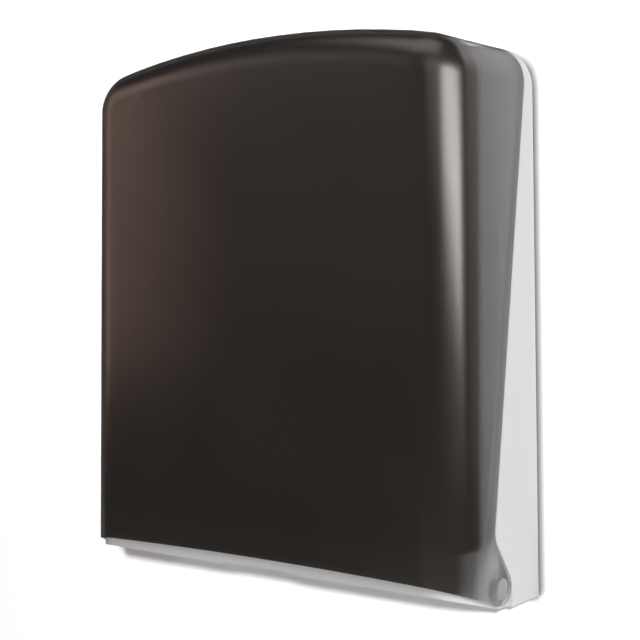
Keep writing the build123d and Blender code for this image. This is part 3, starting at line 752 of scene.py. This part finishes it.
white_pair = ((0.75, 0.76, 0.77), (0.79, 0.80, 0.81))
grey_pair = ((0.36, 0.37, 0.38), (0.40, 0.41, 0.42))
zinc_pair = ((0.62, 0.64, 0.66), (0.72, 0.73, 0.74))
spring_pair = ((0.42, 0.42, 0.43), (0.50, 0.50, 0.51))
chrome_pair = ((0.78, 0.78, 0.80), (0.84, 0.84, 0.86))
finish_of = {
    "white_plastic": finish("white_plastic", grain_tree, white_pair, (0.36, 0.44), (0.2, 0.04)),
    "grey_plastic": finish("grey_plastic", grain_tree, grey_pair, (0.35, 0.42), (0.2, 0.04)),
    "zinc_steel": finish("zinc_steel", lines_tree, zinc_pair, (0.28, 0.40), (0.1, 0.02), Metallic=1.0),
    "spring_steel": finish("spring_steel", lines_tree, spring_pair, (0.25, 0.38), (0.1, 0.02), Metallic=1.0),
    "lock_chrome": finish("lock_chrome", lines_tree, chrome_pair, (0.08, 0.16), (0.03, 0.01), Metallic=1.0),
}
print("finishes:", list(finish_of))

# %% [markdown]
# ## The smoke cover
# The cover is a tinted sheet that lets part of the light straight through. Its alpha follows the masks:
# nearly closed over the empty inside, a little lower over the tray, and low over the side walls and the
# bosses. At a grazing view the way through the sheet is long and it closes. The light is taken on the way
# in, so a face that is seen from its back hardly counts. Over the tray and the bosses the colour is also
# painted lighter, as painted light for the lit white parts behind the sheet.

# %% The smoke cover
smoke_pair = ((0.0112, 0.0084, 0.0064), (0.0142, 0.0107, 0.0084))
front_alpha, tray_alpha, side_alpha, ear_alpha = 0.977, 0.962, 0.57, 0.45
rim_alpha, grazing_alpha, leaving_alpha = 0.9, 1.0, 0.04
grazing_power = 3.0  # the higher, the closer to grazing the sheet closes
# Painted light: the smoke's colour is painted lighter where the lit tray lies behind it.
painted_tray_light = 1.35  # how much lighter the smoke looks where the tray is behind it
# Painted light: the smoke's colour is painted grey where the lit white boss lies behind the ear.
painted_boss_light = (0.26, 0.247, 0.234)  # the smoke looks grey where it lies on the white boss


def blend_colour(tree, factor, colour, target, kind="MIX"):
    """Brings a colour to a fixed one, or multiplies it with that, as far as the factor says."""
    blend = tree.nodes.new("ShaderNodeMix")
    blend.data_type = "RGBA"
    blend.blend_type = kind
    blend.inputs["B"].default_value = (*target, 1)
    tree.links.new(factor, blend.inputs["Factor"])
    tree.links.new(colour, blend.inputs["A"])
    return blend.outputs["Result"]


smoke = finish(
    "smoke_plastic", grain_tree, smoke_pair, (0.28, 0.33), (0.5, 0.06), IOR=1.6, Specular_IOR_Level=1.0,
    Specular_Tint=(1.0, 0.93, 0.885, 1.0)
)
finish_of["smoke_plastic"] = smoke
tree = smoke.node_tree
shader = tree.nodes["Principled BSDF"]
behind = tree.nodes.new("ShaderNodeGroup")
behind.node_tree = close_tree
on_boss = arithmetic(tree, "MULTIPLY", behind.outputs["Ear"], behind.outputs["Wall"])
grazing = tree.nodes.new("ShaderNodeLayerWeight")
grazing.inputs["Blend"].default_value = 0.5
closing = arithmetic(tree, "POWER", grazing.outputs["Facing"], grazing_power)
facing = tree.nodes.new("ShaderNodeNewGeometry")
alpha = between_values(tree, behind.outputs["Tray"], front_alpha, tray_alpha)
for factor, level in (
    (behind.outputs["Wall"], side_alpha),
    (on_boss, ear_alpha),
    (behind.outputs["Rim"], rim_alpha),
    (closing, grazing_alpha),
    (facing.outputs["Backfacing"], leaving_alpha),
):
    alpha = between_values(tree, factor, alpha, level)
tree.links.new(alpha, shader.inputs["Alpha"])
colour = shader.inputs["Base Color"].links[0].from_socket
# Painted light: the colour is painted lighter over the tray and grey over the bosses, for the lit white
# parts seen through the sheet.
colour = blend_colour(tree, behind.outputs["Tray"], colour, (painted_tray_light, painted_tray_light, painted_tray_light), "MULTIPLY")
colour = blend_colour(tree, on_boss, colour, painted_boss_light)
tree.links.new(colour, shader.inputs["Base Color"])
crown_normal = tree.nodes.new("ShaderNodeGroup")
crown_normal.node_tree = swell_tree
tree.links.new(crown_normal.outputs["Normal"], tree.nodes["Bump"].inputs["Normal"])
print("alpha over inside, tray, walls and bosses:", front_alpha, tray_alpha, side_alpha, ear_alpha)

# %% [markdown]
# ## Which piece has which finish
# The record names a material slot for every part, and each slot has one finish.


# %% Which piece has which finish
def wear(piece, material):
    """Gives the piece one material only."""
    piece.data.materials.clear()
    piece.data.materials.append(material)


for name, piece in dressed.items():
    wear(piece, smoke if name == "cover_shell" else finish_of[slot_of[name]])
print("worn:", {name: piece.data.materials[0].name for name, piece in dressed.items()})

# %% [markdown]
# ## The wall and the floor
# The dispenser hangs on a white wall. Only the camera sees the wall, so that it shows the shadow but
# doesn't block the light that comes from behind the part. Close to the part the paint carries a painted
# contact shadow, like the shade in the narrow gap along its edge, and it glows a little, so that it comes
# out white beside the shadow.

# %% Wall and floor
wall_size = 6.0  # metres, as are the next two
wall_gap = 0.0005  # behind the part's rear face
floor_height = -0.9
wall_glow, floor_glow = 0.14, 0.95
wall_white = 0.8
contact_reach = 7.5  # how far from the part its soft contact shadow reaches
contact_depth = 3.0  # how strongly it darkens the wall
contact_fade = 26.0  # the light from above takes it away near the part's top


def studio_surface(name, material, location, rotation):
    """A large plane that only the camera sees."""
    bpy.ops.object.select_all(action="DESELECT")
    bpy.ops.mesh.primitive_plane_add(size=wall_size, location=location, rotation=rotation)
    plane = named(name)
    plane.visible_diffuse = False
    plane.visible_glossy = False
    plane.visible_transmission = False
    plane.visible_shadow = False
    wear(plane, material)
    plane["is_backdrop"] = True
    return plane


def wall_paint(name, glow):
    """White paint with a little glow and a painted contact shadow, and clear when it is seen from behind."""
    material = bpy.data.materials.new(name)
    material.use_nodes = True
    tree = material.node_tree
    shader = tree.nodes["Principled BSDF"]
    shader.inputs["Roughness"].default_value = 0.9
    shader.inputs["Specular IOR Level"].default_value = 0.0
    shader.inputs["Emission Color"].default_value = (1, 1, 1, 1)
    # Painted shade: ambient occlusion darkens the paint's colour and glow next to the part, a painted
    # contact shadow that fades out near the part's top.
    contact = tree.nodes.new("ShaderNodeAmbientOcclusion")
    contact.samples = 16
    contact.inputs["Distance"].default_value = contact_reach * mm
    shade = arithmetic(tree, "POWER", contact.outputs["AO"], contact_depth)
    place = tree.nodes.new("ShaderNodeTexCoord").outputs["Object"]
    split = tree.nodes.new("ShaderNodeSeparateXYZ")
    tree.links.new(place, split.inputs["Vector"])
    below_top = ramp(tree, split.outputs["Z"], crown, crown - contact_fade)
    painted_contact_shade = between_values(tree, below_top, 1.0, shade)
    tree.links.new(arithmetic(tree, "MULTIPLY", painted_contact_shade, wall_white), shader.inputs["Base Color"])
    tree.links.new(arithmetic(tree, "MULTIPLY", painted_contact_shade, glow), shader.inputs["Emission Strength"])
    clear = tree.nodes.new("ShaderNodeBsdfTransparent")
    facing = tree.nodes.new("ShaderNodeNewGeometry")
    mix = tree.nodes.new("ShaderNodeMixShader")
    tree.links.new(facing.outputs["Backfacing"], mix.inputs["Fac"])
    tree.links.new(shader.outputs["BSDF"], mix.inputs[1])
    tree.links.new(clear.outputs["BSDF"], mix.inputs[2])
    tree.links.new(mix.outputs["Shader"], tree.nodes["Material Output"].inputs["Surface"])
    return material


wall = studio_surface("wall", wall_paint("wall_paint", wall_glow), (0, wall_gap, 0), (pi / 2, 0, 0))
floor_at = (0, -wall_size / 2, floor_height)
floor = studio_surface("floor", wall_paint("floor_paint", floor_glow), floor_at, (0, 0, 0))
print("wall faces", tuple(round(v, 2) for v in wall.data.polygons[0].normal))

# %% [markdown]
# ## The lights
# Large soft lights stand where a product studio has them. A large key light at the right draws the
# highlight down the cover's right round, a warm one at the left lights the left edge, and weaker ones in
# front, above and behind keep the other sides readable. The small wall lamp shines on the wall and the
# floor only and draws the shadow below the tray's lip. The low light shines on the part only, so that it
# doesn't fill that shadow.

# %% Lights
aim = Vector((0, -0.05, 0))  # in the middle of the part, in metres
neutral, warm, rosy = (1, 1, 1), (1.0, 0.9, 0.82), (1.0, 0.68, 0.56)


def soft_light(name, azimuth, distance, height_m, size, radiance, colour=neutral, roll_deg=0.0):
    """An area light on a circle round the part. Azimuth 0 is in front and 90 is to its right."""
    turn = radians(azimuth)
    place = Vector((distance * sin(turn), -distance * cos(turn), height_m))
    bpy.ops.object.light_add(type="AREA", location=place)
    lamp = bpy.context.object
    lamp.name = name
    lamp.data.shape = "RECTANGLE"
    lamp.data.size, lamp.data.size_y = size
    lamp.data.energy = radiance * pi * size[0] * size[1]
    lamp.data.color = colour
    facing = (aim - place).to_track_quat("-Z", "Y").to_matrix() @ Matrix.Rotation(radians(roll_deg), 3, "Z")
    lamp.rotation_euler = facing.to_euler()
    lamp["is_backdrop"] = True
    return lamp


soft_light("key_panel", 84, 1.7, 0.36, (1.6, 0.7), 6.3, roll_deg=-17)
soft_light("back_panel", 170, 1.8, 0.35, (1.5, 2.0), 1.1)
soft_light("left_panel", -63, 1.6, 0.32, (0.7, 1.35), 1.05, rosy)
soft_light("side_fill", -12, 1.8, 0.5, (1.6, 1.8), 0.13, warm)
soft_light("front_panel", 36, 1.5, 0.75, (0.9, 0.9), 0.7)
soft_light("upper_panel", -38, 1.8, 1.05, (1.2, 1.0), 0.25)
soft_light("top_panel", 20, 0.5, 1.7, (1.6, 1.2), 1.0)
low_panel = soft_light("low_panel", 30, 0.3, -0.8, (0.8, 0.5), 4.3)
wall_lamp = soft_light("wall_lamp", 33, 1.55, 0.294, (0.07, 0.07), 2500.0)
wall_only = bpy.data.collections.new("wall_only")
part_only = bpy.data.collections.new("part_only")
for surface in (wall, floor):
    wall_only.objects.link(surface)
    part_only.objects.link(surface)
for left_out in part_only.collection_objects:
    left_out.light_linking.link_state = "EXCLUDE"
wall_lamp.light_linking.receiver_collection = wall_only
low_panel.light_linking.receiver_collection = part_only

# %% [markdown]
# ## The room
# The camera sees a white room, but to all other rays the room is dim. A white room would fill the dark
# band that the cover's side shows beside its highlight.

# %% The room
room_level = 0.07
world = bpy.data.worlds.new("studio")
bpy.context.scene.world = world
world.use_nodes = True
tree = world.node_tree
room = tree.nodes["Background"]
backdrop = tree.nodes.new("ShaderNodeBackground")
for background, strength in ((room, room_level), (backdrop, 1.0)):
    background.inputs["Color"].default_value = (1, 1, 1, 1)
    background.inputs["Strength"].default_value = strength
path = tree.nodes.new("ShaderNodeLightPath")
blend = tree.nodes.new("ShaderNodeMixShader")
tree.links.new(path.outputs["Is Camera Ray"], blend.inputs["Fac"])
tree.links.new(room.outputs["Background"], blend.inputs[1])
tree.links.new(backdrop.outputs["Background"], blend.inputs[2])
tree.links.new(blend.outputs["Shader"], tree.nodes["World Output"].inputs["Surface"])
print("room level", room_level)

# %% [markdown]
# ## The camera
# The camera stands near the height of the part's middle and well to its right, at the place that was
# worked out from the vanishing lines of the housing's edges. Its lens keeps the photo's mild perspective.

# %% Camera
yaw, pitch, roll = 0.625, -0.024, -0.003  # radians
focal_px, image_px, sensor = 1238.0, 640.0, 36.0
eye = Vector((0.4412, -0.6342, 0.0125))
ahead = Vector((-sin(yaw) * cos(pitch), cos(yaw) * cos(pitch), sin(pitch)))
right = ahead.cross(Vector((0, 0, 1))).normalized()
above = right.cross(ahead)
right_rolled = right * cos(roll) + above * sin(roll)
above_rolled = above * cos(roll) - right * sin(roll)
bpy.ops.object.camera_add(location=eye)
camera = bpy.context.object
camera.name = "product_camera"
camera.data.lens = focal_px / image_px * sensor
camera.data.sensor_width = sensor
turn = Matrix((right_rolled, above_rolled, -ahead)).transposed()
camera.rotation_euler = turn.to_euler()
bpy.context.scene.camera = camera
bpy.context.scene.view_settings.view_transform = "Standard"
print("lens", round(camera.data.lens, 1))

# %% Print the sizes and finish
low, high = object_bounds()
outside = [round(max(a - b, d - c) / mm, 3) for a, b, c, d in zip(cad_low, low, cad_high, high)]
print("outside the CAD box by mm:", outside)
